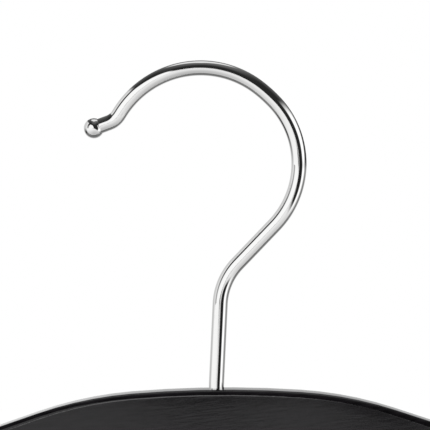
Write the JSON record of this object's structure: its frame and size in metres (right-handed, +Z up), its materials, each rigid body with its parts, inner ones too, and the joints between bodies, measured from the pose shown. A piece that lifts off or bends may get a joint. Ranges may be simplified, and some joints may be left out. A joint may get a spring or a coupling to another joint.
{
  "type": "skirt hanger",
  "caption": "Wooden skirt hanger with a swivelling ball-tipped wire hook, and sliding spring clips on a steel bar that grip a waistband.",
  "frame": {"origin": "Rail seat: the point of the hook's inside surface that lies on the swivel axis.", "axes": "+Z up along the swivel axis; +X along the hanger's width, with the hook's tip towards -X; -Y is the front."},
  "size_m": [0.36, 0.022, 0.1968],
  "materials": {
    "hook_chrome": "polished chrome plate",
    "bar_chrome": "polished chrome plate",
    "clip_chrome": "bright plated pressed steel",
    "plain_steel": "zinc plated",
    "spring_steel": "drawn wire",
    "lacquered_wood": "black satin lacquer over fine grain",
    "plug_plastic": "matt",
    "soft_cap": "soft matt, ribbed grip"
  },
  "bodies": {
    "hook": {"hook_wire": "hook_chrome", "hook_tip_ball": "hook_chrome", "hook_washer": "plain_steel", "hook_collar": "plain_steel"},
    "hanger_body": {"wood_body": "lacquered_wood", "recess_plug": "plug_plastic", "clip_bar": "bar_chrome"},
    "left_clip_sleeve": {"left_clip_sleeve": "plain_steel"},
    "left_rear_jaw": {"left_rear_jaw": "clip_chrome", "left_rear_cap": "soft_cap", "left_clip_spring": "spring_steel"},
    "left_front_jaw": {"left_front_jaw": "clip_chrome", "left_front_cap": "soft_cap"},
    "right_clip_sleeve": {"right_clip_sleeve": "plain_steel"},
    "right_rear_jaw": {"right_rear_jaw": "clip_chrome", "right_rear_cap": "soft_cap", "right_clip_spring": "spring_steel"},
    "right_front_jaw": {"right_front_jaw": "clip_chrome", "right_front_cap": "soft_cap"}
  },
  "joints": [
    {"name": "hook_swivel", "type": "hinge", "parent": "hook", "child": "hanger_body", "pos_m": [0, 0, -0.0804], "axis": [0, 0, 1], "continuous": true},
    {"name": "left_clip_slide", "type": "slide", "parent": "hanger_body", "child": "left_clip_sleeve", "axis": [1, 0, 0], "range_m": [-0.024, 0.088]},
    {"name": "left_clip_swing", "type": "hinge", "parent": "left_clip_sleeve", "child": "left_rear_jaw", "pos_m": [-0.105, 0, -0.16225], "axis": [1, 0, 0], "range_deg": [-110, 110]},
    {"name": "left_jaw_open", "type": "hinge", "parent": "left_rear_jaw", "child": "left_front_jaw", "pos_m": [-0.105, 0, -0.16225], "axis": [-1, 0, 0], "range_deg": [0, 35], "stiffness_Nm_per_rad": 0.12, "springref_deg": -68.75, "deforming": ["left_clip_spring"]},
    {"name": "right_clip_slide", "type": "slide", "parent": "hanger_body", "child": "right_clip_sleeve", "axis": [1, 0, 0], "range_m": [-0.088, 0.024]},
    {"name": "right_clip_swing", "type": "hinge", "parent": "right_clip_sleeve", "child": "right_rear_jaw", "pos_m": [0.105, 0, -0.16225], "axis": [1, 0, 0], "range_deg": [-110, 110]},
    {"name": "right_jaw_open", "type": "hinge", "parent": "right_rear_jaw", "child": "right_front_jaw", "pos_m": [0.105, 0, -0.16225], "axis": [-1, 0, 0], "range_deg": [0, 35], "stiffness_Nm_per_rad": 0.12, "springref_deg": -68.75, "deforming": ["right_clip_spring"]}
  ]
}
